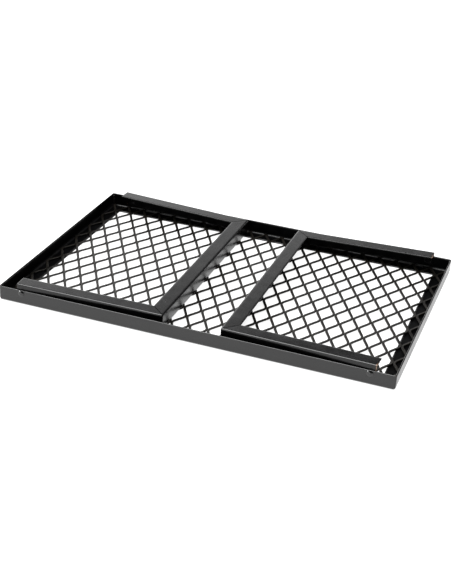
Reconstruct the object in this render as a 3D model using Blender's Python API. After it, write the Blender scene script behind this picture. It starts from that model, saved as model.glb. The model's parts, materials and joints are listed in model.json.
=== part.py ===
"""Folding camp grill grate, lying on its cooking face with both legs folded.

Metres, +Z up. The origin is the centre of the footprint, on the surface that the grate lies on.
+X runs along the long side. Four angle-iron rails make the frame. An expanded-metal panel lies on
their flanges. Two U-shaped legs swing on rivets through the long rails.
"""

import math

import bmesh
import bpy

# Driving dimensions, in metres.
FRAME_LENGTH = 0.6096
FRAME_WIDTH = 0.4064
FRAME_HEIGHT = 0.0234
FRAME_FLANGE = 0.0240
SHEET = 0.0022
OUTER_BEND = 0.0040
TOE_ROUND = 0.0005
GAP = 0.0003

# Expanded metal: half the pitch of its diamonds across (X) and along (Y), a bond near the middle,
# the length of a bond, and a strand's width in plan. Openings cut off smaller than the last value,
# an area, are left closed.
MESH_THICKNESS = 0.0024
MESH_HALF_PITCH_X = 0.0143
MESH_HALF_PITCH_Y = 0.02554
MESH_ORIGIN_X = 0.0006
MESH_ORIGIN_Y = 0.0184
MESH_BOND_LENGTH = 0.0062
MESH_STRAND = 0.0026
MESH_EDGE_CLEARANCE = 0.0024
MESH_RIM = 0.0026
SMALLEST_OPENING = 0.000030

# Legs, in the frame of their own pivot: x towards the foot, z up.
PIVOT_X = 0.2672
PIVOT_Z = 0.0184
PIVOT_HALF_WIDTH = 0.2001
FOOT_HALF_WIDTH = 0.1901
FOOT_REACH = 0.2226
ARM_OVERHANG = 0.0085
LEG_FLANGE = 0.0230
LEG_HEIGHT = 0.0232
LEG_TOP = 0.0133

# Rivets, washers and weld beads.
SHANK_RADIUS = 0.0030
HEAD_RADIUS = 0.0050
HEAD_HEIGHT = 0.0026
HEAD_RIM = 0.0006
TAIL_RADIUS = 0.0045
TAIL_HEIGHT = 0.0020
TAIL_BEVEL = 0.0008
WASHER_RADIUS = 0.0060
WASHER_THICKNESS = 0.0008
WOBBLE_GAP = 0.0004
BEAD_LEG = 0.0035
BEAD_CROWN = 0.0006
BEAD_INSET = 0.0020
BORE_DEPTH = 0.0060

ROUND_SEGMENTS = 24
DOME_SEGMENTS = 5
BEND_SEGMENTS = 4
SMOOTH_ANGLE = math.radians(35)

# Heights and places worked out from the driving dimensions.
MESH_BOTTOM = SHEET + GAP
MESH_TOP = MESH_BOTTOM + MESH_THICKNESS
TOE_IN = math.atan2(PIVOT_HALF_WIDTH - FOOT_HALF_WIDTH, FOOT_REACH)
FOOT_DROP = PIVOT_Z + LEG_TOP - LEG_HEIGHT - MESH_TOP - GAP
TILT = math.atan2(FOOT_DROP, FOOT_REACH)
WALL_OUTER_Y = FRAME_WIDTH / 2
WALL_INNER_Y = WALL_OUTER_Y - SHEET

# Colour, roughness and metallic value of each finish.
FINISHES = {
    "frame_enamel": ((0.020, 0.020, 0.021), 0.38, 0.0),
    "mesh_enamel": ((0.012, 0.012, 0.012), 0.45, 0.0),
    "leg_enamel": ((0.030, 0.030, 0.031), 0.36, 0.0),
    "rivet_enamel": ((0.016, 0.016, 0.017), 0.30, 0.0),
    "washer_zinc": ((0.42, 0.42, 0.43), 0.35, 1.0),
    "weld_enamel": ((0.018, 0.018, 0.019), 0.50, 0.0),
}


def clear_scene():
    """Remove every object that the file already holds."""
    for old in list(bpy.data.objects):
        bpy.data.objects.remove(old, do_unlink=True)


def new_material(node_name, finish):
    """A Principled material of a node's own, in one of the finishes."""
    colour, roughness, metallic = FINISHES[finish]
    material = bpy.data.materials.new(node_name + "_" + finish)
    material.use_nodes = True
    shader = material.node_tree.nodes["Principled BSDF"]
    shader.inputs["Base Color"].default_value = (*colour, 1.0)
    shader.inputs["Roughness"].default_value = roughness
    shader.inputs["Metallic"].default_value = metallic
    return material


def add_object(name, bm, finish, parent=None):
    """Turn a bmesh into a named object with outward faces and a material."""
    bmesh.ops.recalc_face_normals(bm, faces=bm.faces)
    mesh = bpy.data.meshes.new(name)
    bm.to_mesh(mesh)
    bm.free()
    mesh.shade_smooth()
    mesh.set_sharp_from_angle(angle=SMOOTH_ANGLE)
    if finish:
        mesh.materials.append(new_material(name, finish))
    obj = bpy.data.objects.new(name, mesh)
    obj.parent = parent
    bpy.context.collection.objects.link(obj)
    return obj


def add_empty(name, location, turn):
    """An empty on a leg's hinge axis, tilted as the folded leg lies."""
    empty = bpy.data.objects.new(name, None)
    empty.location = location
    empty.rotation_euler = (0.0, TILT, turn)
    bpy.context.collection.objects.link(empty)
    return empty


def arc(centre, radius, start, sweep, segments):
    """Points on an arc, angles in degrees."""
    points = []
    for step in range(segments + 1):
        angle = math.radians(start + sweep * step / segments)
        points.append((centre[0] + radius * math.cos(angle), centre[1] + radius * math.sin(angle)))
    return points


def angle_section(flange, height):
    """Outline (inward, up) of a bent angle: its wall on the outer side, its flange at the bottom."""
    bend = arc((OUTER_BEND, OUTER_BEND), OUTER_BEND, 180, 90, BEND_SEGMENTS)
    inside = arc((OUTER_BEND, OUTER_BEND), OUTER_BEND - SHEET, 270, -90, BEND_SEGMENTS)
    flange_toe = [
        (flange - TOE_ROUND, 0.0),
        (flange, TOE_ROUND),
        (flange, SHEET - TOE_ROUND),
        (flange - TOE_ROUND, SHEET),
    ]
    wall_toe = [
        (SHEET, height - TOE_ROUND),
        (SHEET - TOE_ROUND, height),
        (TOE_ROUND, height),
        (0.0, height - TOE_ROUND),
    ]
    return bend + flange_toe + inside + wall_toe


def angle_iron(name, section, length, leans, finish, parent=None):
    """A length of angle along +X, its outer face at y = 0, its flange towards +Y.

    leans are the tangents of the end cuts: 0 is square, and a mitre pulls back by lean times y.
    """
    bm = bmesh.new()
    start_ring = []
    end_ring = []
    for inward, up in section:
        start_ring.append(bm.verts.new((inward * leans[0], inward, up)))
        end_ring.append(bm.verts.new((length - inward * leans[1], inward, up)))
    count = len(section)
    for index in range(count):
        following = (index + 1) % count
        bm.faces.new((start_ring[index], start_ring[following], end_ring[following], end_ring[index]))
    bm.faces.new(start_ring)
    bm.faces.new(end_ring)
    return add_object(name, bm, finish, parent)


def lathe(name, profile, finish, parent=None):
    """A turned solid about local Z from (radius, height) points; radius 0 is a pole."""
    bm = bmesh.new()
    rings = []
    for radius, height in profile:
        if radius == 0.0:
            rings.append([bm.verts.new((0.0, 0.0, height))])
            continue
        circle = arc((0.0, 0.0), radius, 0, 360, ROUND_SEGMENTS)[:-1]
        rings.append([bm.verts.new((x, y, height)) for x, y in circle])
    closed = profile[0][0] > 0.0
    pairs = list(zip(rings, rings[1:]))
    if closed:
        pairs.append((rings[-1], rings[0]))
    for lower, upper in pairs:
        for step in range(ROUND_SEGMENTS):
            after = (step + 1) % ROUND_SEGMENTS
            if len(lower) == 1:
                bm.faces.new((lower[0], upper[step], upper[after]))
            elif len(upper) == 1:
                bm.faces.new((lower[step], lower[after], upper[0]))
            else:
                bm.faces.new((lower[step], lower[after], upper[after], upper[step]))
    return add_object(name, bm, finish, parent)


def cutter(name, location):
    """A cylinder along Y, wider than a rivet's shank by the gap, that bores a pivot's wall and arm."""
    radius = SHANK_RADIUS + GAP
    profile = [(0.0, -BORE_DEPTH), (radius, -BORE_DEPTH), (radius, BORE_DEPTH), (0.0, BORE_DEPTH)]
    bore = lathe(name, profile, None)
    bore.location = location
    bore.rotation_euler = (math.radians(90), 0.0, 0.0)
    bore.hide_render = True
    bore.display_type = "WIRE"
    return bore


def bore_through(obj, bore):
    """Cut a pivot hole with an exact Boolean."""
    modifier = obj.modifiers.new("pivot_bore", "BOOLEAN")
    modifier.operation = "DIFFERENCE"
    modifier.solver = "EXACT"
    modifier.object = bore


def bead(name, height, parent=None):
    """A fillet weld in an upright inner corner at the origin, between +X and +Y, its face crowned."""
    outline = [(0.0, 0.0), (BEAD_LEG, 0.0)]
    for share in (0.25, 0.5, 0.75):
        crown = BEAD_CROWN * math.sin(math.pi * share) / math.sqrt(2)
        outline.append((BEAD_LEG * (1 - share) + crown, BEAD_LEG * share + crown))
    outline.append((0.0, BEAD_LEG))
    bm = bmesh.new()
    lower = [bm.verts.new((x, y, 0.0)) for x, y in outline]
    upper = [bm.verts.new((x, y, height)) for x, y in outline]
    for index in range(len(outline)):
        following = (index + 1) % len(outline)
        bm.faces.new((lower[index], lower[following], upper[following], upper[index]))
    bm.faces.new(lower)
    bm.faces.new(upper)
    return add_object(name, bm, "weld_enamel", parent)


def opening_outline(centre_x, centre_y):
    """The six-sided hole of one expanded diamond.

    The strands' centre lines run from bond end to bond end, and each edge of the hole lies half a
    strand inside one. The two bonds beside the hole cut its left and right tips off.
    """
    run_x = MESH_HALF_PITCH_X
    run_y = MESH_HALF_PITCH_Y - MESH_BOND_LENGTH
    slope = run_y / run_x
    offset_y = MESH_STRAND / 2 * math.hypot(1.0, slope)
    side_x = MESH_HALF_PITCH_X - MESH_STRAND
    side_y = MESH_BOND_LENGTH / 2 + MESH_STRAND * slope - offset_y
    tip_y = MESH_HALF_PITCH_Y - MESH_BOND_LENGTH / 2 - offset_y
    right = [(side_x, -side_y), (side_x, side_y), (0.0, tip_y)]
    left = [(-x, -y) for x, y in right]
    return [(centre_x + x, centre_y + y) for x, y in right + left]


def clip(outline, axis, limit, sign):
    """The part of a convex outline where sign * coordinate is under sign * limit."""
    kept = []
    for index, point in enumerate(outline):
        previous = outline[index - 1]
        inside = sign * point[axis] <= sign * limit
        was_inside = sign * previous[axis] <= sign * limit
        if inside != was_inside:
            share = (limit - previous[axis]) / (point[axis] - previous[axis])
            crossing = [previous[k] + share * (point[k] - previous[k]) for k in (0, 1)]
            crossing[axis] = limit
            kept.append(tuple(crossing))
        if inside:
            kept.append(point)
    return kept


def area(outline):
    """Area inside an outline, by the shoelace sum."""
    total = 0.0
    for index, (x, y) in enumerate(outline):
        before_x, before_y = outline[index - 1]
        total += before_x * y - x * before_y
    return abs(total) / 2


def mesh_openings(half_x, half_y):
    """Every diamond opening, cut off at the panel's rim."""
    openings = []
    columns = int(half_x / MESH_HALF_PITCH_X) + 2
    rows = int(half_y / MESH_HALF_PITCH_Y) + 2
    for column in range(-columns, columns + 1):
        for row in range(-rows, rows + 1):
            if (column + row) % 2 == 0:
                continue
            centre_x = MESH_ORIGIN_X + column * MESH_HALF_PITCH_X
            centre_y = MESH_ORIGIN_Y + row * MESH_HALF_PITCH_Y
            outline = opening_outline(centre_x, centre_y)
            for axis, half in ((0, half_x), (1, half_y)):
                outline = clip(outline, axis, half, 1)
                outline = clip(outline, axis, -half, -1)
            if len(outline) > 2 and area(outline) > SMALLEST_OPENING:
                openings.append(outline)
    return openings


def build_mesh_panel():
    """The expanded-metal panel: one flat sheet with its diamonds open, lying on the rails' flanges."""
    half_x = FRAME_LENGTH / 2 - SHEET - MESH_EDGE_CLEARANCE
    half_y = FRAME_WIDTH / 2 - SHEET - MESH_EDGE_CLEARANCE
    outlines = [[(-half_x, -half_y), (half_x, -half_y), (half_x, half_y), (-half_x, half_y)]]
    outlines += mesh_openings(half_x - MESH_RIM, half_y - MESH_RIM)
    bm = bmesh.new()
    edges = []
    for outline in outlines:
        ring = [bm.verts.new((x, y, MESH_BOTTOM)) for x, y in outline]
        for index, vertex in enumerate(ring):
            edges.append(bm.edges.new((vertex, ring[(index + 1) % len(ring)])))
    bmesh.ops.triangle_fill(bm, use_beauty=True, edges=edges)
    raised = bmesh.ops.extrude_face_region(bm, geom=bm.faces[:])["geom"]
    top = [item for item in raised if isinstance(item, bmesh.types.BMVert)]
    bmesh.ops.translate(bm, verts=top, vec=(0.0, 0.0, MESH_THICKNESS))
    add_object("mesh_panel", bm, "mesh_enamel")


def build_frame(bores):
    """Four mitred rails with a weld bead in each inner corner."""
    section = angle_section(FRAME_FLANGE, FRAME_HEIGHT)
    sides = {
        "front": (0, FRAME_LENGTH, FRAME_WIDTH),
        "right": (90, FRAME_WIDTH, FRAME_LENGTH),
        "back": (180, FRAME_LENGTH, FRAME_WIDTH),
        "left": (270, FRAME_WIDTH, FRAME_LENGTH),
    }
    for side, (turn, along, across) in sides.items():
        angle = math.radians(turn)
        rail_length = along - GAP * math.sqrt(2)
        rail = angle_iron("rail_" + side, section, rail_length, (1.0, 1.0), "frame_enamel")
        start_x = -rail_length / 2
        start_y = -across / 2
        rail.location = (
            start_x * math.cos(angle) - start_y * math.sin(angle),
            start_x * math.sin(angle) + start_y * math.cos(angle),
            0.0,
        )
        rail.rotation_euler = (0.0, 0.0, angle)
        for bore in bores.get(side, []):
            bore_through(rail, bore)
    corner_x = FRAME_LENGTH / 2 - SHEET - GAP
    corner_y = WALL_INNER_Y - GAP
    foot = MESH_TOP + GAP
    corners = {
        "left_front": (-corner_x, -corner_y, 0),
        "right_front": (corner_x, -corner_y, 90),
        "right_back": (corner_x, corner_y, 180),
        "left_back": (-corner_x, corner_y, 270),
    }
    for corner, (x, y, turn) in corners.items():
        weld = bead("frame_weld_" + corner, FRAME_HEIGHT - BEAD_INSET - foot)
        weld.location = (x, y, foot)
        weld.rotation_euler = (0.0, 0.0, math.radians(turn))


def build_leg(side, turn, bores):
    """A U of mitred angle iron: two arms that toe in, a foot bar, and a bead in each inner corner."""
    pivot = add_empty(side + "_leg_pivot", (math.copysign(PIVOT_X, -math.cos(turn)), 0.0, PIVOT_Z), turn)
    upright = angle_section(LEG_FLANGE, LEG_HEIGHT)
    section = [(inward, LEG_TOP - up) for inward, up in upright]
    mitre = math.tan((math.pi / 2 - TOE_IN) / 2)
    mitre_gap = GAP / 2 * math.sqrt(1 + mitre * mitre)
    end_x = -ARM_OVERHANG
    end_y = PIVOT_HALF_WIDTH + ARM_OVERHANG * math.tan(TOE_IN)
    arm_length = (FOOT_REACH + ARM_OVERHANG) / math.cos(TOE_IN) - mitre_gap
    near, far = ("front", "back") if side == "left" else ("back", "front")

    near_arm = angle_iron(side + "_arm_" + near, section, arm_length, (0.0, mitre), "leg_enamel", pivot)
    near_arm.location = (end_x, -end_y, 0.0)
    near_arm.rotation_euler = (0.0, 0.0, TOE_IN)
    bore_through(near_arm, bores[near])

    far_arm = angle_iron(side + "_arm_" + far, section, arm_length, (mitre, 0.0), "leg_enamel", pivot)
    far_arm.location = (
        FOOT_REACH - mitre_gap * math.cos(TOE_IN),
        FOOT_HALF_WIDTH + mitre_gap * math.sin(TOE_IN),
        0.0,
    )
    far_arm.rotation_euler = (0.0, 0.0, math.pi - TOE_IN)
    bore_through(far_arm, bores[far])

    foot_length = 2 * (FOOT_HALF_WIDTH - mitre_gap)
    foot = angle_iron(side + "_foot_bar", section, foot_length, (mitre, mitre), "leg_enamel", pivot)
    foot.location = (FOOT_REACH, -foot_length / 2, 0.0)
    foot.rotation_euler = (0.0, 0.0, math.pi / 2)

    bead_height = LEG_HEIGHT - OUTER_BEND - BEAD_INSET
    inner_x = FOOT_REACH - SHEET - GAP
    inner_y = FOOT_HALF_WIDTH + (SHEET + GAP) * math.tan(TOE_IN) - (SHEET + GAP) / math.cos(TOE_IN)
    for end, sign, bead_turn in ((near, -1, 90), (far, 1, 180)):
        weld = bead("leg_weld_" + side + "_" + end, bead_height, pivot)
        weld.location = (inner_x, sign * inner_y, LEG_TOP - LEG_HEIGHT + BEAD_INSET / 2)
        weld.rotation_euler = (0.0, 0.0, math.radians(bead_turn))


def build_pivot(side, end, sign_x, sign_y):
    """A rivet through the rail and the arm, and the washer under its closed end."""
    arm_inner_y = PIVOT_HALF_WIDTH - SHEET / math.cos(TOE_IN)
    washer_near = WALL_OUTER_Y - arm_inner_y + WOBBLE_GAP
    washer_far = washer_near + WASHER_THICKNESS
    tail_near = washer_far + GAP
    tail_far = tail_near + TAIL_HEIGHT
    dome_height = HEAD_HEIGHT - HEAD_RIM
    profile = [(0.0, -GAP - HEAD_HEIGHT)]
    for step in range(1, DOME_SEGMENTS + 1):
        angle = math.pi / 2 * step / DOME_SEGMENTS
        height = HEAD_RIM + dome_height * math.cos(angle)
        profile.append((HEAD_RADIUS * math.sin(angle), -GAP - height))
    profile += [(HEAD_RADIUS, -GAP), (SHANK_RADIUS, -GAP), (SHANK_RADIUS, tail_near)]
    profile += [(TAIL_RADIUS, tail_near), (TAIL_RADIUS, tail_far - TAIL_BEVEL)]
    profile += [(TAIL_RADIUS - TAIL_BEVEL, tail_far), (0.0, tail_far)]
    rivet = lathe("rivet_" + side + "_" + end, profile, "rivet_enamel")
    bore_radius = SHANK_RADIUS + GAP
    ring = [
        (bore_radius, washer_near),
        (WASHER_RADIUS, washer_near),
        (WASHER_RADIUS, washer_far),
        (bore_radius, washer_far),
    ]
    washer = lathe("washer_" + side + "_" + end, ring, "washer_zinc")
    for piece in (rivet, washer):
        piece.location = (sign_x * PIVOT_X, sign_y * WALL_OUTER_Y, PIVOT_Z)
        piece.rotation_euler = (math.radians(90 * sign_y), 0.0, 0.0)


def build_grate():
    """The whole grate: pivots and their bores, frame, panel and legs."""
    bores = {"left": {}, "right": {}}
    for side, sign_x in (("left", -1), ("right", 1)):
        for end, sign_y in (("front", -1), ("back", 1)):
            place = (sign_x * PIVOT_X, sign_y * WALL_OUTER_Y, PIVOT_Z)
            bores[side][end] = cutter("bore_" + side + "_" + end, place)
            build_pivot(side, end, sign_x, sign_y)
    rail_bores = {end: [bores["left"][end], bores["right"][end]] for end in ("front", "back")}
    build_frame(rail_bores)
    build_mesh_panel()
    build_leg("left", 0.0, bores["left"])
    build_leg("right", math.pi, bores["right"])


clear_scene()
build_grate()
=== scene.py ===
# %% [markdown]
# # A folding camp grill grate
#
# The grate lies on its cooking face with its legs folded in. Four rails of bent steel angle make the
# frame, a panel of expanded metal lies on their flanges, and two U-shaped legs swing on rivets. The
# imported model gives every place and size. This lesson makes the same pieces again as fine surfaces:
# rounded bends, tilted strands, weld beads and black enamel.

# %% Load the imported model
import json
import math

import bmesh
import bpy
import numpy as np
from mathutils import Matrix, Vector


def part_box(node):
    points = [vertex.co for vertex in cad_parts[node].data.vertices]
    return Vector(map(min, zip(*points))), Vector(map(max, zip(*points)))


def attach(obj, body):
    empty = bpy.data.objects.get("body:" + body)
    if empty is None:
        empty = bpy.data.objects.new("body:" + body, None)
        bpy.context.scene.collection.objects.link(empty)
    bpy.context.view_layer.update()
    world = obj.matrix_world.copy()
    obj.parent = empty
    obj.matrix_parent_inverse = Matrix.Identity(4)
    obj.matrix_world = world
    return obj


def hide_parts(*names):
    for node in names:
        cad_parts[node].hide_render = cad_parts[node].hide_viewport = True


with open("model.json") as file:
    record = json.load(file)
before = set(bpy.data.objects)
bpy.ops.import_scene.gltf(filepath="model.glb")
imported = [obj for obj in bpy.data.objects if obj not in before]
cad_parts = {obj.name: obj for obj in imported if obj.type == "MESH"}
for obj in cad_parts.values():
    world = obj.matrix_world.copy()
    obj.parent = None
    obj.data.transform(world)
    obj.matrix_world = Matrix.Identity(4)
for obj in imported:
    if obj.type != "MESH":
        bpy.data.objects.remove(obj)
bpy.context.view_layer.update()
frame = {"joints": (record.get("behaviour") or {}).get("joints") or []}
joints = {joint["name"]: joint for joint in frame["joints"]}
frame_low, frame_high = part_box("rail_front")
print("rail_front box, mm:", [round(1000 * value, 1) for value in (*frame_low, *frame_high)])

# %% [markdown]
# ## The camera
#
# The view is from the front, a little to the right and about 27 degrees above the floor, through a
# lens of moderate length. The view is tilted by a few degrees. The camera is placed by its
# distance, its two angles and its roll, so the numbers can be read and changed one at a time.

# %% Camera
AZIMUTH = math.radians(18.44)
ELEVATION = math.radians(27.19)
ROLL = math.radians(3.58)
DISTANCE = 1.857
AIM = Vector((-0.0045, -0.0279, 0.0))
LENS_MM = 73.47

back = Vector((
    math.sin(AZIMUTH) * math.cos(ELEVATION),
    -math.cos(AZIMUTH) * math.cos(ELEVATION),
    math.sin(ELEVATION),
))
level_right = Vector((0.0, 0.0, 1.0)).cross(back).normalized()
level_up = back.cross(level_right)
camera_right = level_right * math.cos(ROLL) + level_up * math.sin(ROLL)
camera_up = level_up * math.cos(ROLL) - level_right * math.sin(ROLL)
turn = Matrix((camera_right, camera_up, back)).transposed()

camera_data = bpy.data.cameras.new("camera")
camera_data.lens = LENS_MM
camera_data.sensor_width = 36.0
camera = bpy.data.objects.new("camera", camera_data)
camera.matrix_world = Matrix.Translation(AIM + back * DISTANCE) @ turn.to_4x4()
bpy.context.scene.collection.objects.link(camera)
bpy.context.scene.camera = camera
print("camera at", [round(value, 3) for value in camera.matrix_world.translation])

# %% [markdown]
# ## Helpers for surfaces
#
# Every bar here is one outline carried along a straight line, so a mesh is a grid: one row for each
# place along the bar, one column for each point of the outline. The helper joins the grid's rows with
# quads, closes both ends, and merges the points that meet. A float attribute called rub goes with
# each vertex: it is 0 on the flats, rises along the toes and is highest at free ends, and the paint
# reads it. A second one called inside is 1 in the trough of the angle. There the paint's reflection is
# turned far down and it is made a little rougher: painted shade, so that the trough stays dark.


# %% Grid to mesh
MERGE = 0.000002
SMOOTH_ANGLE = math.radians(38)


def ring_quads(rows, columns, start=0):
    """Quads between neighbouring rows of a grid whose columns close on themselves."""
    row, column = np.meshgrid(np.arange(rows - 1), np.arange(columns), indexing="ij")
    after = (column + 1) % columns
    here = row * columns
    above = (row + 1) * columns
    corners = (here + column, here + after, above + after, above + column)
    return start + np.stack(corners, axis=-1).reshape(-1, 4)


def new_piece(name, points, faces, rub=None, inside=None):
    """A mesh object from an array of points and a list of faces, merged, smooth and facing out."""
    mesh = bpy.data.meshes.new(name)
    mesh.from_pydata(points.reshape(-1, 3).tolist(), [], faces)
    for label, values in (("rub", rub), ("inside", inside)):
        if values is not None:
            attribute = mesh.attributes.new(label, "FLOAT", "POINT")
            attribute.data.foreach_set("value", np.ascontiguousarray(values, dtype=np.float32).ravel())
    bm = bmesh.new()
    bm.from_mesh(mesh)
    bmesh.ops.remove_doubles(bm, verts=bm.verts, dist=MERGE)
    bmesh.ops.dissolve_degenerate(bm, edges=bm.edges, dist=MERGE)
    bmesh.ops.recalc_face_normals(bm, faces=bm.faces)
    open_edges = sum(1 for edge in bm.edges if not edge.is_manifold)
    bm.to_mesh(mesh)
    bm.free()
    mesh.shade_smooth()
    mesh.set_sharp_from_angle(angle=SMOOTH_ANGLE)
    piece = bpy.data.objects.new(name, mesh)
    bpy.context.scene.collection.objects.link(piece)
    if open_edges:
        print("  ", name, "has", open_edges, "open edges")
    return piece


def sweep(name, rings, rub=None, inside=None):
    """A closed bar from an array of rings, shaped (rows, columns, 3), with a face over each end."""
    rows, columns = rings.shape[:2]
    faces = ring_quads(rows, columns).tolist()
    faces.append(list(range(columns)))
    faces.append(list(range((rows - 1) * columns, rows * columns)))
    return new_piece(name, rings, faces, rub, inside)


# %% [markdown]
# ## The bent angle's outline
#
# The frame and the legs are bent from sheet, not rolled: the outside corner is an arc, wider on the
# frame than on the legs, and the sawn toes are only slightly rounded. The outline runs round the
# section once. Each flat gets a point close to each of its ends, so that the rub attribute dies away
# within two millimetres.

# %% Section outline
SHEET = 0.0022
TOE_RADIUS = 0.0009
RUB_FADE = 0.0018
BEND_STEPS = 9
TOE_STEPS = 3


def arc_points(centre, radius, start, end, steps):
    """Points centre + radius * (cos a, sin a) for steps + 1 angles from start to end, in degrees."""
    angle = np.radians(np.linspace(start, end, steps + 1))
    return np.stack((centre[0] + radius * np.cos(angle), centre[1] + radius * np.sin(angle)), axis=-1)


def angle_outline(flange, height, bend):
    """The angle's outline as (inward, up) points, anticlockwise, with each point's rub and inside values."""
    toe = TOE_RADIUS
    # Each part is (points, rub, inside); inside marks the faces inside the angle that get painted shade.
    parts = [
        (arc_points((bend, bend), bend, 180, 270, BEND_STEPS), 0.15, 0.0),
        (np.array([(bend + RUB_FADE, 0.0), (flange - toe - RUB_FADE, 0.0)]), 0.0, 0.0),
        (arc_points((flange - toe, toe), toe, 270, 360, TOE_STEPS), 0.4, 0.0),
        (arc_points((flange - toe, SHEET - toe), toe, 0, 90, TOE_STEPS), 0.4, 0.2),
        (np.array([(flange - toe - RUB_FADE, SHEET), (bend + RUB_FADE, SHEET)]), 0.0, 1.0),
        (arc_points((bend, bend), bend - SHEET, 270, 180, BEND_STEPS), 0.0, 0.55),
        (np.array([(SHEET, bend + RUB_FADE), (SHEET, height - toe - RUB_FADE)]), 0.0, 1.0),
        (arc_points((SHEET - toe, height - toe), toe, 0, 90, TOE_STEPS), 0.4, 0.2),
        (arc_points((toe, height - toe), toe, 90, 180, TOE_STEPS), 0.4, 0.0),
        (np.array([(0.0, height - toe - RUB_FADE), (0.0, bend + RUB_FADE)]), 0.0, 0.0),
    ]
    outline = np.concatenate([points for points, rub, inside in parts])
    rub = np.concatenate([np.full(len(points), value) for points, value, inside in parts])
    inside = np.concatenate([np.full(len(points), value) for points, rub_value, value in parts])
    return outline, rub, inside


def outline_normals(outline):
    """Unit normals of a closed outline: the chord between both neighbours, turned by a right angle."""
    chord = np.roll(outline, -1, axis=0) - np.roll(outline, 1, axis=0)
    normal = np.stack((chord[:, 1], -chord[:, 0]), axis=-1)
    return normal / np.linalg.norm(normal, axis=1, keepdims=True)


print("angle outline:", len(angle_outline(0.024, 0.0234, 0.004)[0]), "points")

# %% [markdown]
# ## A bar of angle with its two ends
#
# A bar ends in one of two ways. A free end is sawn square and its rim is filed. A mitred end is cut
# along the corner's bisector, and its outer corner is rounded in plan: a point that lies deeper than
# the rounding goes straight to the bisector, and a shallower one follows an arc about the rounding's
# centre. The last ring is drawn in a little, so that two bars leave the fine groove of a painted
# joint between them.

# %% Bar ends
FILED = 0.00035
END_WEAR = 0.004
GROOVE_DEPTH = 0.00080
GROOVE_WIDTH = 0.00070
CORNER_STEPS = 5


def free_end(outline):
    """Rings (x from the end face, inward, up), from the straight part to the end face.

    Over the filed rim x = f (1 - sin a) while the outline shrinks by f (1 - cos a).
    """
    normal = outline_normals(outline)
    rings = [np.column_stack((np.full(len(outline), x), outline)) for x in (END_WEAR, 0.5 * END_WEAR)]
    for angle in np.radians((0, 30, 60, 90)):
        shrunk = outline - normal * FILED * (1 - math.cos(angle))
        x = np.full(len(outline), FILED * (1 - math.sin(angle)))
        rings.append(np.column_stack((x, shrunk)))
    return np.array(rings)


def mitred_end(outline, half_angle, rounding, groove):
    """Rings towards a corner whose faces meet at twice half_angle, from the straight part to the joint.

    With d the larger of inward and rounding, and m the part of the rounding outside the point:
    x = d / tan(half_angle) - m sin(t), inward = d - m cos(t), for t from 0 to the half turn.
    """
    half_turn = math.pi / 2 - half_angle
    reach = 1 / math.tan(half_angle)
    rings = []
    for share in np.linspace(0, 1, CORNER_STEPS + 1):
        t = half_turn * share
        deep = np.maximum(outline[:, 0], rounding)
        shallow = np.maximum(rounding - outline[:, 0], 0)
        x = deep * reach - shallow * math.sin(t) + groove * GROOVE_WIDTH
        inward = deep - shallow * math.cos(t)
        rings.append(np.column_stack((x, inward, outline[:, 1])))
    for share in (0.1, 1.0):
        shrunk = outline - outline_normals(outline) * GROOVE_DEPTH * groove * share
        deep = np.maximum(shrunk[:, 0], rounding)
        shallow = np.maximum(rounding - shrunk[:, 0], 0)
        x = deep * reach - shallow * math.sin(half_turn) + groove * GROOVE_WIDTH * (1 - share) + 4 * MERGE
        inward = deep - shallow * math.cos(half_turn)
        rings.append(np.column_stack((x, inward, shrunk[:, 1])))
    return np.array(rings)


print("groove of a joint, mm:", 1000 * GROOVE_DEPTH, "deep,", 1000 * GROOVE_WIDTH, "wide")

# %% [markdown]
# A bar is its start rings, a row of stations and its end rings mirrored. Two plain bars cut by a
# Boolean could give this shape too; carrying the outline keeps the mitre in even quads instead.
# The stations carry a few slow sines, three hundredths of a millimetre high, because bent sheet is
# never quite flat and gloss shows it.

# %% Bar from two ends
STATION_STEP = 0.012
WAVE_HEIGHT = 0.00003


def wave(x, seed):
    """A few slow sines with fixed phases: the unevenness of a bent sheet."""
    phase = np.random.default_rng(seed).uniform(0, 2 * math.pi, 3)
    slow = np.sin(x * 47 + phase[0])
    middling = 0.7 * np.sin(x * 91 + phase[1])
    quick = 0.5 * np.sin(x * 173 + phase[2])
    return (slow + middling + quick) / 2.2


def angle_bar(name, section, length, start, end, place, seed):
    """An angle bar along +X, from its start rings to its mirrored end rings, moved by place (4 x 4)."""
    outline, rub, inside = section
    first = start[::-1]
    last = end.copy()
    last[:, :, 0] = length - last[:, :, 0]
    count = max(2, round(length / STATION_STEP))
    share = np.linspace(0, 1, count + 1)[1:-1, None, None]
    middle = first[-1] * (1 - share) + last[0] * share
    window = np.sin(math.pi * share[:, :, 0])
    middle[:, :, 1] += WAVE_HEIGHT * window * wave(middle[:, :, 0], seed)
    middle[:, :, 2] += WAVE_HEIGHT * window * wave(middle[:, :, 0], seed + 50)
    rings = np.concatenate((first, middle, last))
    from_end = np.minimum(rings[:, :, 0], length - rings[:, :, 0])
    rub_rows = np.clip(rub[None] + 1.2 * np.clip(1 - from_end / END_WEAR, 0, 1), 0, 1.2)
    place = np.array(place)
    rings = rings @ place[:3, :3].T + place[:3, 3]
    inside_rows = np.tile(inside, (len(rings), 1))
    # Painted shade: the two rings of a mitred end's groove get inside = 1, so the groove reads dark.
    if len(start) > CORNER_STEPS + 2:
        inside_rows[:2] = 1
    if len(end) > CORNER_STEPS + 2:
        inside_rows[-2:] = 1
    return sweep(name, rings, rub_rows, inside_rows)


def turned(angle, x, y, z=0.0):
    """A 4 x 4 matrix that turns about Z and then moves."""
    return Matrix.Translation((x, y, z)) @ Matrix.Rotation(angle, 4, "Z")


print("stations every", 1000 * STATION_STEP, "mm, waves", 1000 * WAVE_HEIGHT, "mm high")


# %% [markdown]
# ## Black enamel
#
# Sprayed enamel on steel is almost black. What the eye sees is its gloss: a mirror-like reflection
# broken by orange peel a millimetre or two across, a few specks of dust under the paint, and patches
# that dried duller. Where things rub, along toes and ends, the paint is thin and the steel shows in
# short streaks. One function makes each finish from its colour, its gloss and how rubbed it is.


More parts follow.
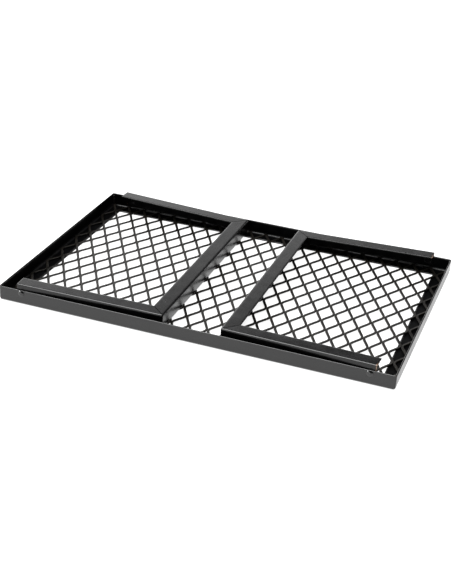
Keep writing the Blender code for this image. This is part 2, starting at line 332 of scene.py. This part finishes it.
# %% Enamel function
def node(tree, kind, **inputs):
    """A new node with its inputs set. An input that is another node's output is linked."""
    made = tree.nodes.new(kind)
    for name, value in inputs.items():
        socket = made.inputs[name.replace("_", " ")]
        if isinstance(value, bpy.types.NodeSocket):
            tree.links.new(value, socket)
        else:
            socket.default_value = value
    return made


def blank_material(name):
    """A material with only its Principled shader and the object's own coordinates."""
    material = bpy.data.materials.new(name)
    material.use_nodes = True
    tree = material.node_tree
    shader = tree.nodes["Principled BSDF"]
    place = tree.nodes.new("ShaderNodeTexCoord").outputs["Object"]
    return material, tree, shader, place


def spread(tree, value, low, high, to_low=0.0, to_high=1.0):
    """Map the range low..high to to_low..to_high, held at both ends."""
    made = node(tree, "ShaderNodeMapRange", Value=value)
    made.clamp = True
    made.inputs["From Min"].default_value = low
    made.inputs["From Max"].default_value = high
    made.inputs["To Min"].default_value = to_low
    made.inputs["To Max"].default_value = to_high
    return made.outputs["Result"]


def times(tree, first, second, operation="MULTIPLY"):
    """A Math node of two values."""
    made = tree.nodes.new("ShaderNodeMath")
    made.operation = operation
    for socket, value in zip(made.inputs, (first, second)):
        if isinstance(value, bpy.types.NodeSocket):
            tree.links.new(value, socket)
        else:
            socket.default_value = value
    return made.outputs[0]


def blended(tree, factor, first, second):
    """A colour between two others, each an RGB triple or a colour output."""
    made = tree.nodes.new("ShaderNodeMix")
    made.data_type = "RGBA"
    tree.links.new(factor, made.inputs["Factor"])
    for socket, value in ((made.inputs[6], first), (made.inputs[7], second)):
        if isinstance(value, bpy.types.NodeSocket):
            tree.links.new(value, socket)
        else:
            socket.default_value = (*value, 1.0)
    return made.outputs[2]


STEEL = (0.42, 0.34, 0.27)
SCORCH = (0.060, 0.032, 0.018)
# Painted shade: the specular level where inside is 1, so the trough stays dark under any light.
TROUGH_SHINE = 0.04


def enamel(name, colour, gloss, peel=0.12, wear=0.5, shine=0.9):
    """Black enamel.

    gloss is (smoothest, dullest) roughness, peel the bump of the orange peel, wear how much steel
    shows where it is rubbed, and shine the shader's specular level outside the trough.
    """
    material, tree, shader, place = blank_material(name)
    cloud = node(
        tree, "ShaderNodeTexNoise", Vector=place, Scale=38.0, Detail=4.0, Roughness=0.6
    ).outputs["Fac"]
    peel_noise = node(tree, "ShaderNodeTexNoise", Vector=place, Scale=620.0, Detail=2.0).outputs["Fac"]
    grit = node(tree, "ShaderNodeTexVoronoi", Vector=place, Scale=420.0).outputs["Distance"]
    speck = spread(tree, grit, 0.06, 0.11, 1.0, 0.0)

    streak = node(
        tree, "ShaderNodeTexNoise", Vector=place, Scale=260.0, Detail=6.0, Roughness=0.7
    ).outputs["Fac"]
    rubbed = node(tree, "ShaderNodeAttribute")
    rubbed.attribute_name = "rub"
    trough = node(tree, "ShaderNodeAttribute")
    trough.attribute_name = "inside"
    chance = times(tree, times(tree, rubbed.outputs["Fac"], wear), streak)
    patch = node(tree, "ShaderNodeTexNoise", Vector=place, Scale=21.0, Detail=2.0).outputs["Fac"]
    chance = times(tree, chance, spread(tree, patch, 0.38, 0.62))
    thin = spread(tree, chance, 0.14, 0.20)
    bare = spread(tree, chance, 0.24, 0.28)

    shade = blended(tree, spread(tree, cloud, 0.35, 0.65), colour, tuple(2.2 * value for value in colour))
    shade = blended(tree, thin, shade, SCORCH)
    shade = blended(tree, bare, shade, STEEL)
    tree.links.new(shade, shader.inputs["Base Color"])
    tree.links.new(bare, shader.inputs["Metallic"])
    # Painted shade: the specular level falls from shine to TROUGH_SHINE where inside is 1, which keeps the
    # trough, the joint grooves, the rivet tails and the washers dark.
    specular = spread(tree, trough.outputs["Fac"], 0.0, 1.0, shine, TROUGH_SHINE)
    tree.links.new(specular, shader.inputs["Specular IOR Level"])
    dull = spread(tree, cloud, 0.3, 0.7, gloss[0], gloss[1])
    dull = times(tree, dull, times(tree, thin, 0.12), "ADD")
    dull = times(tree, dull, times(tree, trough.outputs["Fac"], 0.12), "ADD")
    tree.links.new(dull, shader.inputs["Roughness"])

    height = times(tree, peel_noise, times(tree, speck, 0.5), "ADD")
    height = times(tree, height, times(tree, bare, -0.4), "ADD")
    bump = node(tree, "ShaderNodeBump", Height=height, Strength=peel, Distance=0.0004)
    tree.links.new(bump.outputs["Normal"], shader.inputs["Normal"])
    return material


frame_enamel = enamel("frame_enamel", (0.0010, 0.0010, 0.0011), (0.18, 0.28), peel=0.10, wear=0.4, shine=0.82)
leg_enamel = enamel("leg_enamel", (0.0011, 0.0011, 0.0012), (0.20, 0.28), peel=0.09, wear=0.5, shine=0.60)
mesh_enamel = enamel("mesh_enamel", (0.0036, 0.0030, 0.0023), (0.32, 0.44), peel=0.15, wear=0.3, shine=0.26)
rivet_enamel = enamel("rivet_enamel", (0.0012, 0.0012, 0.0012), (0.12, 0.18), peel=0.05, wear=0.3)
weld_enamel = enamel("weld_enamel", (0.0012, 0.0012, 0.0012), (0.28, 0.42), peel=0.3, wear=0.3, shine=0.5)
print("materials:", len(bpy.data.materials))


# %% [markdown]
# Every piece needs the same three things: a finish, the body it moves with, and the imported pieces
# it stands for. The drill is here too. It cuts a real hole, so the wall shows its thickness at a pivot,
# and keeps only the result, so no live modifier is left.


# %% Riding helper
def settle(piece, body, slot, finish, *nodes):
    """Give a piece its finish, put it on its body and let it stand for CAD nodes."""
    piece.data.materials.append(finish)
    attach(piece, body)
    if nodes:
        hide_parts(*nodes)


def bore(piece, centre, radius, depth):
    """Drill a hole along Y with an exact Boolean, and keep its result as the piece's own mesh."""
    circle = np.linspace(0, 2 * math.pi, 41)[:-1]
    ring = np.column_stack((radius * np.cos(circle), np.zeros(40), radius * np.sin(circle)))
    ends = np.array(((0, -depth, 0), (0, depth, 0)))
    drill = sweep("drill", ring[None] + ends[:, None] + np.array(centre))
    cut = piece.modifiers.new("pivot_hole", "BOOLEAN")
    cut.object = drill
    cut.operation = "DIFFERENCE"
    cut.solver = "EXACT"
    result = bpy.data.meshes.new_from_object(piece.evaluated_get(bpy.context.evaluated_depsgraph_get()))
    piece.modifiers.clear()
    result.shade_smooth()
    result.set_sharp_from_angle(angle=SMOOTH_ANGLE)
    old = piece.data
    piece.data = result
    bpy.data.meshes.remove(old)
    bpy.data.objects.remove(drill)


# %% [markdown]
# ## The frame's four rails
#
# Each rail is one bar with two mitres of 45 degrees. The corners are welded and ground, so the outer
# corner is rounded by about three millimetres. The long rails are drilled for the four pivots.

# %% Rails
frame_length = frame_high[0] - frame_low[0]
rail_low, rail_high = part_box("rail_left")
frame_width = rail_high[1] - rail_low[1]
frame_length = math.ceil(frame_length * 10000) / 10000
frame_width = math.ceil(frame_width * 10000) / 10000
flange = frame_high[1] - frame_low[1]
wall_height = frame_high[2]
FRAME_BEND = 0.0050
FRAME_ROUNDING = 0.0032
HOLE_RADIUS = 0.0033

rail_section = angle_outline(flange, wall_height, FRAME_BEND)
mitre = mitred_end(rail_section[0], math.pi / 4, FRAME_ROUNDING, 0.4)
pivots = {
    "left": joints["left_leg_fold"]["pos_m"],
    "right": joints["right_leg_fold"]["pos_m"],
}
sides = {
    "front": (0.0, frame_length, frame_width),
    "right": (math.pi / 2, frame_width, frame_length),
    "back": (math.pi, frame_length, frame_width),
    "left": (-math.pi / 2, frame_width, frame_length),
}
for seed, (side, (angle, along, across)) in enumerate(sides.items()):
    start = Matrix.Rotation(angle, 3, "Z") @ Vector((-along / 2, -across / 2, 0.0))
    rail = angle_bar("frame_rail_" + side, rail_section, along, mitre, mitre, turned(angle, *start), seed)
    if side in ("front", "back"):
        for pivot in pivots.values():
            wall_y = math.copysign(frame_width / 2 - SHEET / 2, -1 if side == "front" else 1)
            bore(rail, (pivot[0], wall_y, pivot[2]), HOLE_RADIUS, 2 * SHEET)
    settle(rail, "grate", "frame_enamel", frame_enamel, "rail_" + side)
    print("rail", side, len(rail.data.polygons), "faces")

# %% [markdown]
# ## Expanded metal
#
# Expanded metal is one sheet, slit in staggered rows and pulled open. Between two rows of slits runs
# a ribbon. It leans left to share a bond with one neighbour and then right to share the next bond
# with the other, over and over. So the whole panel is a family of ribbons, all the same shape, each
# one half a diamond further along and half a period out of step. A ribbon's centre follows a
# triangle wave with its peaks cut flat at the bonds and its corners softened.

# %% Ribbon path
HALF_PITCH_X = 0.0143
HALF_PITCH_Y = 0.02554
BOND_X = 0.0006
BOND_Y = 0.0184
BOND_LENGTH = 0.0062
RIBBON_WIDTH = 0.0036
RIBBON_THICKNESS = 0.0022
RIBBON_TILT = -0.10
SOFTEN = 0.0027


def lean(y, first_row):
    """Where a ribbon leans at y: +1 on its right bond, -1 on its left one.

    A triangle wave of one lean per half pitch, stretched so that it is cut flat over a bond's
    length, then averaged over a short window three times to round its corners.
    """
    def cut_wave(at):
        phase = (at - BOND_Y) / HALF_PITCH_Y + first_row
        triangle = 1 - 2 * np.abs((phase % 2) - 1)
        return np.clip(triangle * HALF_PITCH_Y / (HALF_PITCH_Y - BOND_LENGTH), -1, 1)

    offsets = np.array((-1.0, -0.5, 0.0, 0.5, 1.0)) * SOFTEN
    weights = np.array((1.0, 2.0, 3.0, 2.0, 1.0)) / 9
    return sum(weight * cut_wave(y + offset) for weight, offset in zip(weights, offsets))


print("diamond, mm:", 2000 * HALF_PITCH_X, "by", 2000 * HALF_PITCH_Y)


# %% [markdown]
# The ribbon's section is a small rectangle with broken corners, tilted because the press bends each
# ribbon as it opens the slit. It also twists very slightly on the strands, one way in one family and
# the other way in the other, so the two families do not shine quite alike.

# %% Expanded panel
panel_low, panel_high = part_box("mesh_panel")
panel_middle = (panel_low[2] + panel_high[2]) / 2
STATIONS_PER_ROW = 11
BROKEN_CORNER = 0.35
TWIST = 0.05


def ribbon_section():
    """Eight points of a rectangle with broken corners, as (across, through) in metres."""
    half_w, half_t = RIBBON_WIDTH / 2, RIBBON_THICKNESS / 2
    cut = BROKEN_CORNER * half_t
    quarter = np.array(((half_w, half_t - cut), (half_w - cut, half_t)))
    flipped = quarter[::-1] * (-1, 1)
    upper = np.concatenate((quarter, flipped))
    return np.concatenate((upper, -upper))


def ribbon(index, y):
    """Rings of ribbon number index along y, shaped (len(y), 8, 3)."""
    bond_reach = RIBBON_WIDTH * math.cos(RIBBON_TILT) / 2 - 0.00005
    left = BOND_X + index * HALF_PITCH_X
    leaning = lean(y, index)
    x = left + HALF_PITCH_X / 2 + leaning * (HALF_PITCH_X / 2 - bond_reach)
    z = panel_middle + leaning * math.sin(RIBBON_TILT) * RIBBON_WIDTH / 2
    slope = np.gradient(x, y)
    tilt = RIBBON_TILT + TWIST * np.sign(slope) * np.minimum(np.abs(slope), 1)
    heading = np.arctan(slope)
    section = ribbon_section()
    across = section[:, 0][None] * np.cos(tilt)[:, None] + section[:, 1][None] * np.sin(tilt)[:, None]
    up = section[:, 1][None] * np.cos(tilt)[:, None] - section[:, 0][None] * np.sin(tilt)[:, None]
    narrow = 0.5 + 0.5 * np.cos(heading)[:, None]
    return np.stack((
        x[:, None] + across * np.cos(heading)[:, None] / narrow,
        y[:, None] - across * np.sin(heading)[:, None] / narrow,
        z[:, None] + up,
    ), axis=-1)


row_count = int((panel_high[1] - panel_low[1]) / HALF_PITCH_Y * STATIONS_PER_ROW)
stations = np.linspace(panel_low[1], panel_high[1], row_count)
first = math.floor((panel_low[0] - BOND_X) / HALF_PITCH_X)
last = math.ceil((panel_high[0] - BOND_X) / HALF_PITCH_X)
ribbons = [ribbon(index, stations) for index in range(first, last)]
faces = []
for number, rings in enumerate(ribbons):
    start = number * rings.shape[0] * 8
    faces += ring_quads(rings.shape[0], 8, start).tolist()
    faces.append(list(range(start, start + 8)))
    faces.append(list(range(start + (rings.shape[0] - 1) * 8, start + rings.shape[0] * 8)))
expanded = new_piece("expanded_metal", np.array(ribbons), faces, np.full((len(ribbons), row_count, 8), 0.4))
expanded_bm = bmesh.new()
expanded_bm.from_mesh(expanded.data)
for side, limit in ((-1, panel_low[0]), (1, panel_high[0])):
    everything = expanded_bm.verts[:] + expanded_bm.edges[:] + expanded_bm.faces[:]
    cut = bmesh.ops.bisect_plane(
        expanded_bm, geom=everything, plane_co=(limit, 0, 0), plane_no=(side, 0, 0), clear_outer=True
    )
    rim = [item for item in cut["geom_cut"] if isinstance(item, bmesh.types.BMEdge)]
    bmesh.ops.holes_fill(expanded_bm, edges=rim, sides=0)
bmesh.ops.recalc_face_normals(expanded_bm, faces=expanded_bm.faces)
expanded_bm.to_mesh(expanded.data)
expanded_bm.free()
expanded.data.set_sharp_from_angle(angle=SMOOTH_ANGLE)
settle(expanded, "grate", "mesh_enamel", mesh_enamel, "mesh_panel")
print("expanded metal:", len(ribbons), "ribbons,", len(expanded.data.polygons), "faces")

# %% [markdown]
# ## The legs
#
# A leg is a U: two arms that toe in and a foot bar, all with the flange on top and the wall outside.
# The corner angle follows from the toe-in. Each leg is made once in its pivot's frame, x towards the
# foot, and placed by a turn of 0 or 180 degrees and by the small tilt with which it lies on the mesh.

# %% Legs
PIVOT_HALF_WIDTH = 0.2001
FOOT_HALF_WIDTH = 0.1901
FOOT_REACH = 0.2226
ARM_OVERHANG = 0.0085
LEG_FLANGE = 0.0230
LEG_HEIGHT = 0.0232
LEG_TOP = 0.0133
LEG_BEND = 0.0024
LEG_ROUNDING = 0.0016
REST_GAP = 0.0003

toe_in = math.atan2(PIVOT_HALF_WIDTH - FOOT_HALF_WIDTH, FOOT_REACH)
foot_drop = pivots["left"][2] + LEG_TOP - LEG_HEIGHT - panel_high[2] - REST_GAP
tilt = math.atan2(foot_drop, FOOT_REACH)
half_corner = (math.pi / 2 + toe_in) / 2
leg_outline, leg_rub, leg_inside = angle_outline(LEG_FLANGE, LEG_HEIGHT, LEG_BEND)
leg_outline = np.column_stack((leg_outline[:, 0], LEG_TOP - leg_outline[:, 1]))[::-1]
leg_section = (leg_outline, leg_rub[::-1], leg_inside[::-1])
leg_mitre = mitred_end(leg_outline, half_corner, LEG_ROUNDING, 1.0)
leg_free = free_end(leg_outline)
arm_length = (FOOT_REACH + ARM_OVERHANG) / math.cos(toe_in)
arm_end_y = PIVOT_HALF_WIDTH + ARM_OVERHANG * math.tan(toe_in)

leg_places = {}
for seed, (side, pivot) in enumerate(pivots.items()):
    half_turn = 0.0 if side == "left" else math.pi
    place = Matrix.Translation(pivot) @ Matrix.Rotation(half_turn, 4, "Z") @ Matrix.Rotation(tilt, 4, "Y")
    leg_places[side] = place
    near, far = ("front", "back") if side == "left" else ("back", "front")
    foot_place = turned(math.pi / 2, FOOT_REACH, -FOOT_HALF_WIDTH)
    far_place = turned(math.pi - toe_in, FOOT_REACH, FOOT_HALF_WIDTH)
    bars = {
        "arm_" + near: (arm_length, leg_free, leg_mitre, turned(toe_in, -ARM_OVERHANG, -arm_end_y)),
        "foot_bar": (2 * FOOT_HALF_WIDTH, leg_mitre, leg_mitre, foot_place),
        "arm_" + far: (arm_length, leg_mitre, leg_free, far_place),
    }
    for bar, (length, start, end, local) in bars.items():
        name = side + "_" + bar
        bar_seed = 10 * seed + len(name)
        piece = angle_bar("leg_" + name, leg_section, length, start, end, place @ local, bar_seed)
        if bar != "foot_bar":
            wall_y = math.copysign(PIVOT_HALF_WIDTH - SHEET / 2, -1 if bar == "arm_front" else 1)
            bore(piece, (pivot[0], wall_y, pivot[2]), HOLE_RADIUS, 2 * SHEET)
        settle(piece, side + "_leg", "leg_enamel", leg_enamel, name)
    print(side, "leg: tilt", round(math.degrees(tilt), 2), "toe-in", round(math.degrees(toe_in), 2))

# %% [markdown]
# ## Rivets and washers
#
# A rivet is a turned shape: a low dome outside, a shank through wall and arm, and a closed end that
# the riveting tool has flattened over a washer. The profile is revolved as a whole array.


# %% Turned shapes
def revolve(name, profile, sides, rub, inside):
    """Revolve (radius, height) points about Z: x = r cos a, y = r sin a. A radius of 0 is a pole."""
    profile = np.array(profile)
    angle = np.linspace(0, 2 * math.pi, sides, endpoint=False)
    rings = np.stack((
        profile[:, :1] * np.cos(angle),
        profile[:, :1] * np.sin(angle),
        np.repeat(profile[:, 1:], sides, axis=1),
    ), axis=-1)
    rub_rows = np.repeat(np.array(rub)[:, None], sides, axis=1)
    inside_rows = np.repeat(np.array(inside)[:, None], sides, axis=1)
    faces = ring_quads(len(profile), sides).tolist()
    if profile[0, 0] > 0:
        pair = ring_quads(2, sides)
        outer_edge = pair[:, :2] + (len(profile) - 1) * sides
        faces += np.column_stack((outer_edge, pair[:, 1::-1])).tolist()
    return new_piece(name, rings, faces, rub_rows, inside_rows)


def moved(piece, place):
    """Put a place into a piece's own vertices."""
    piece.data.transform(place)
    return piece


# %% [markdown]
# The head is a spherical cap that ends a little short of its rim, so a fine shadow line runs round it;
# the undercut also carries painted shade, which deepens that line.
# Its ball's radius follows from the head's radius and height. The closed end and the washer take their
# places from the imported pieces. All four rivets are the same; the washers carry the rivets' enamel.

# %% Rivets
HEAD_RADIUS = 0.0050
HEAD_HEIGHT = 0.0026
HEAD_RIM = 0.0006
SHANK_RADIUS = 0.0030
TAIL_RADIUS = 0.0045
TAIL_BEVEL = 0.0008
WASHER_ROUND = 0.00018
SIDES = 48

for side, pivot in pivots.items():
    for end, sign in (("front", -1), ("back", 1)):
        node_name = side + "_" + end
        low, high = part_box("rivet_" + node_name)
        washer_low, washer_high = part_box("washer_" + node_name)
        wall = frame_width / 2
        tail_end = wall - min(abs(low[1]), abs(high[1]))
        tail_start = wall - min(abs(washer_low[1]), abs(washer_high[1])) + REST_GAP / 3
        cap = HEAD_HEIGHT - HEAD_RIM
        ball = (HEAD_RADIUS**2 + cap**2) / (2 * cap)
        steep = np.linspace(0, math.asin(HEAD_RADIUS / ball), 12)
        dome = np.column_stack((ball * np.sin(steep), -HEAD_HEIGHT + ball * (1 - np.cos(steep))))
        lower = [
            (HEAD_RADIUS - 0.0001, -HEAD_RIM * 0.8),
            (HEAD_RADIUS - 0.0012, 0.0),
            (SHANK_RADIUS, 0.00002),
            (SHANK_RADIUS, tail_start),
            (TAIL_RADIUS - 0.0002, tail_start),
            (TAIL_RADIUS, tail_start + 0.0002),
            (TAIL_RADIUS, tail_end - TAIL_BEVEL),
            (TAIL_RADIUS - TAIL_BEVEL * 0.4, tail_end - TAIL_BEVEL * 0.3),
            (TAIL_RADIUS - TAIL_BEVEL * 1.4, tail_end),
            (0.0, tail_end - 0.0003),
        ]
        profile = np.concatenate((dome, np.array(lower)))
        rub_steps = np.concatenate((np.full(len(dome), 0.3), np.full(len(lower), 0.9)))
        # Painted shade: everything below the dome, the undercut, shank and closed end, gets inside = 1 and so
        # stays dark.
        painted_shade_steps = np.concatenate((np.zeros(len(dome)), np.ones(len(lower))))
        rivet = revolve("pivot_rivet_" + node_name, profile, SIDES, rub_steps, painted_shade_steps)
        stand_out = Matrix.Rotation(sign * math.pi / 2, 4, "X")
        place = Matrix.Translation((pivot[0], sign * wall, pivot[2])) @ stand_out
        moved(rivet, place)
        settle(rivet, "grate", "rivet_enamel", rivet_enamel, "rivet_" + node_name)
        washer_in = wall - max(abs(washer_low[1]), abs(washer_high[1]))
        washer_out = wall - min(abs(washer_low[1]), abs(washer_high[1]))
        radius = (washer_high[2] - washer_low[2]) / 2
        ring = [
            (HOLE_RADIUS, washer_in + WASHER_ROUND),
            (HOLE_RADIUS + WASHER_ROUND, washer_in),
            (radius - WASHER_ROUND, washer_in),
            (radius, washer_in + WASHER_ROUND),
            (radius, washer_out - WASHER_ROUND),
            (radius - WASHER_ROUND, washer_out),
            (HOLE_RADIUS + WASHER_ROUND, washer_out),
            (HOLE_RADIUS, washer_out - WASHER_ROUND),
        ]
        # Painted shade: the washer gets inside = 0.9, so its reflection is turned down and it stays dark.
        washer = moved(revolve("pivot_washer_" + node_name, ring, SIDES, [0.8] * 8, [0.9] * 8), place)
        settle(washer, "grate", "washer_steel", rivet_enamel, "washer_" + node_name)
print("rivets and washers: 4 of each")

# %% [markdown]
# ## Weld beads
#
# A hand-laid bead is a row of small overlapping pools. Along the path the bead's radius swells and
# pinches once for each pool, and at both ends it closes like a drop. Each bead sits in an inner
# corner, half sunk into the steel. A leg's bead starts low on the wall and turns under the flange
# along the mitre.


# %% Bead along a path
def bead(name, path, radius, pool=0.0016, sides=14, seed=0):
    """A closed rippled tube: r = radius * (0.86 + 0.14 |cos(pi s / pool)|) * end(s), s along the path."""
    path = np.array(path, dtype=float)
    legs = np.linalg.norm(np.diff(path, axis=0), axis=1)
    along = np.concatenate(((0,), np.cumsum(legs)))
    s = np.linspace(0, along[-1], max(8, round(along[-1] / pool * 6)))
    centre = np.stack([np.interp(s, along, path[:, axis]) for axis in range(3)], axis=-1)
    kernel = np.ones(7) / 7
    padded = np.pad(centre, ((3, 3), (0, 0)), mode="edge")
    centre = np.stack([np.convolve(padded[:, axis], kernel, mode="valid") for axis in range(3)], axis=-1)
    tangent = np.gradient(centre, axis=0)
    tangent /= np.linalg.norm(tangent, axis=1, keepdims=True)
    side = np.cross(tangent, np.array((0.31, 0.87, 0.38)))
    side /= np.linalg.norm(side, axis=1, keepdims=True)
    up = np.cross(side, tangent)
    from_end = np.minimum(s, along[-1] - s)
    closing = np.sqrt(np.clip(1 - (1 - np.minimum(from_end / radius, 1)) ** 2, 0, 1))
    uneven = 1 + 0.06 * np.sin(s * 900 + seed) + 0.05 * np.sin(s * 2300 + 2 * seed)
    r = radius * (0.86 + 0.14 * np.abs(np.cos(math.pi * s / pool))) * closing * uneven
    angle = np.linspace(0, 2 * math.pi, sides, endpoint=False)
    rings = centre[:, None] + r[:, None, None] * (
        np.cos(angle)[None, :, None] * side[:, None] + np.sin(angle)[None, :, None] * up[:, None]
    )
    return new_piece(name, rings, ring_quads(len(s), sides).tolist(), np.full((len(s), sides), 0.5))


# %% [markdown]
# The frame's beads stand upright in its four inner corners. A leg's bead is laid out in its pivot's
# frame and moved with the leg's own place, so it stays on the mitre whichever way the leg is turned.

# %% Beads of the frame and the legs
BEAD_SINK = 0.0004
LEG_BEAD_SHARE = 0.8
LEG_BEAD_START = 0.0012
LEG_BEAD_TOP = 0.0003
LEG_BEAD_SIDE = 0.0002
LEG_BEAD_STOP = 0.002
corner_x = frame_length / 2 - SHEET
corner_y = frame_width / 2 - SHEET
BEAD_RADIUS = 0.0021
for number, (side, sign_x) in enumerate((("left", -1), ("right", 1))):
    for end, sign_y in (("front", -1), ("back", 1)):
        low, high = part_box("frame_weld_" + side + "_" + end)
        corner = (sign_x * (corner_x - BEAD_SINK), sign_y * (corner_y - BEAD_SINK))
        path = [(*corner, z) for z in (low[2], high[2])]
        weld = bead("corner_bead_" + side + "_" + end, path, BEAD_RADIUS, seed=number + sign_y)
        settle(weld, "grate", "weld_enamel", weld_enamel, "frame_weld_" + side + "_" + end)

bead_low = LEG_TOP - LEG_HEIGHT + LEG_BEAD_START
bead_high = LEG_TOP - SHEET - LEG_BEAD_TOP
inner_x = FOOT_REACH - SHEET - BEAD_SINK
inner_y = FOOT_HALF_WIDTH - SHEET - LEG_BEAD_SIDE
flange_run = LEG_FLANGE - SHEET - LEG_BEAD_STOP
for side, place in leg_places.items():
    near, far = ("front", "back") if side == "left" else ("back", "front")
    for end, sign in ((near, -1), (far, 1)):
        toe_x = inner_x - flange_run
        local = [
            (inner_x, sign * inner_y, bead_low),
            (inner_x, sign * inner_y, bead_high),
            (toe_x, sign * (inner_y - flange_run / math.tan(half_corner)), bead_high),
        ]
        path = [place @ Vector(point) for point in local]
        weld = bead("mitre_bead_" + side + "_" + end, path, BEAD_RADIUS * LEG_BEAD_SHARE, seed=sign)
        settle(weld, side + "_leg", "weld_enamel", weld_enamel, "leg_weld_" + side + "_" + end)
print("weld beads: 4 on the frame, 4 on the legs")

# %% [markdown]
# ## Floor and light
#
# The grate lies on a lit white table under one large soft lamp. Glossy black shows only what it
# mirrors. The outer walls mirror the table, so it glows about as bright as white; the leg tops mirror
# the studio 27 degrees above the horizon, where a bright wall fades into a dark ceiling; and the bends
# mirror the lamp as a thin bright line.

# %% Floor
FLOOR_HALF = 60.0
TABLE_GLOW = 1.0
TABLE_WHITE = 0.72
corners = np.array(((-1, -1, 0), (1, -1, 0), (1, 1, 0), (-1, 1, 0))) * FLOOR_HALF
floor_mesh = bpy.data.meshes.new("floor")
floor_mesh.from_pydata((corners - (0, 0, 0.0001)).tolist(), [], [(0, 1, 2, 3)])
floor = bpy.data.objects.new("floor", floor_mesh)
bpy.context.scene.collection.objects.link(floor)
floor_material, tree, shader, place = blank_material("white_table")
grain = node(tree, "ShaderNodeTexNoise", Vector=place, Scale=9.0, Detail=3.0).outputs["Fac"]
white = blended(tree, grain, (0.20, 0.20, 0.20), (0.22, 0.22, 0.22))
glow = blended(tree, grain, (TABLE_WHITE,) * 3, (TABLE_WHITE + 0.03,) * 3)
tree.links.new(white, shader.inputs["Base Color"])
tree.links.new(glow, shader.inputs["Emission Color"])
shader.inputs["Emission Strength"].default_value = TABLE_GLOW
shader.inputs["Roughness"].default_value = 0.75
shader.inputs["Specular IOR Level"].default_value = 0.2
floor_mesh.materials.append(floor_material)
print("floor:", 2 * FLOOR_HALF, "m square")

# %% [markdown]
# The studio is a plain gradient by height: straight ahead it is bright to about ten degrees and dark
# from about nineteen. It is tipped sideways, so that towards the left the bright part reaches higher.
# These values were chosen until the enamel had the right greys.

# %% World
STUDIO_WALL = 1.7
CEILING = 0.12
LEFT_LIFT = 0.50
world = bpy.data.worlds.new("studio")
world.use_nodes = True
bpy.context.scene.world = world
tree = world.node_tree
background = tree.nodes["Background"]
direction = tree.nodes.new("ShaderNodeTexCoord").outputs["Generated"]
axes = node(tree, "ShaderNodeSeparateXYZ", Vector=direction).outputs
height = times(tree, axes["Z"], times(tree, axes["X"], LEFT_LIFT), "ADD")
tree.links.new(spread(tree, height, 0.17, 0.33, STUDIO_WALL, CEILING), background.inputs["Strength"])
background.inputs["Color"].default_value = (1.0, 1.0, 1.0, 1.0)
print("studio wall", STUDIO_WALL, "ceiling", CEILING)

# %% [markdown]
# Two square lamps: a wide one overhead for the bends and the table, and a small one at the front left.


# %% Lamps
def soft_lamp(name, place, aim, size, watts):
    """A square area lamp at place, turned to face aim."""
    data = bpy.data.lights.new(name, "AREA")
    data.shape = "SQUARE"
    data.size = size
    data.energy = watts
    aim_turn = (Vector(aim) - Vector(place)).to_track_quat("-Z", "Y").to_matrix().to_4x4()
    lamp = bpy.data.objects.new(name, data)
    lamp.matrix_world = Matrix.Translation(place) @ aim_turn
    bpy.context.scene.collection.objects.link(lamp)
    return lamp


soft_lamp("overhead", (-0.2, -0.2, 2.6), (-0.2, -0.2, 0.0), 3.4, 210)
soft_lamp("front_left", (-2.6, -1.6, 1.5), (-0.3, -0.3, 0.0), 0.5, 30)
bpy.context.scene.view_settings.view_transform = "Standard"
bpy.context.scene.view_settings.look = "Medium High Contrast"
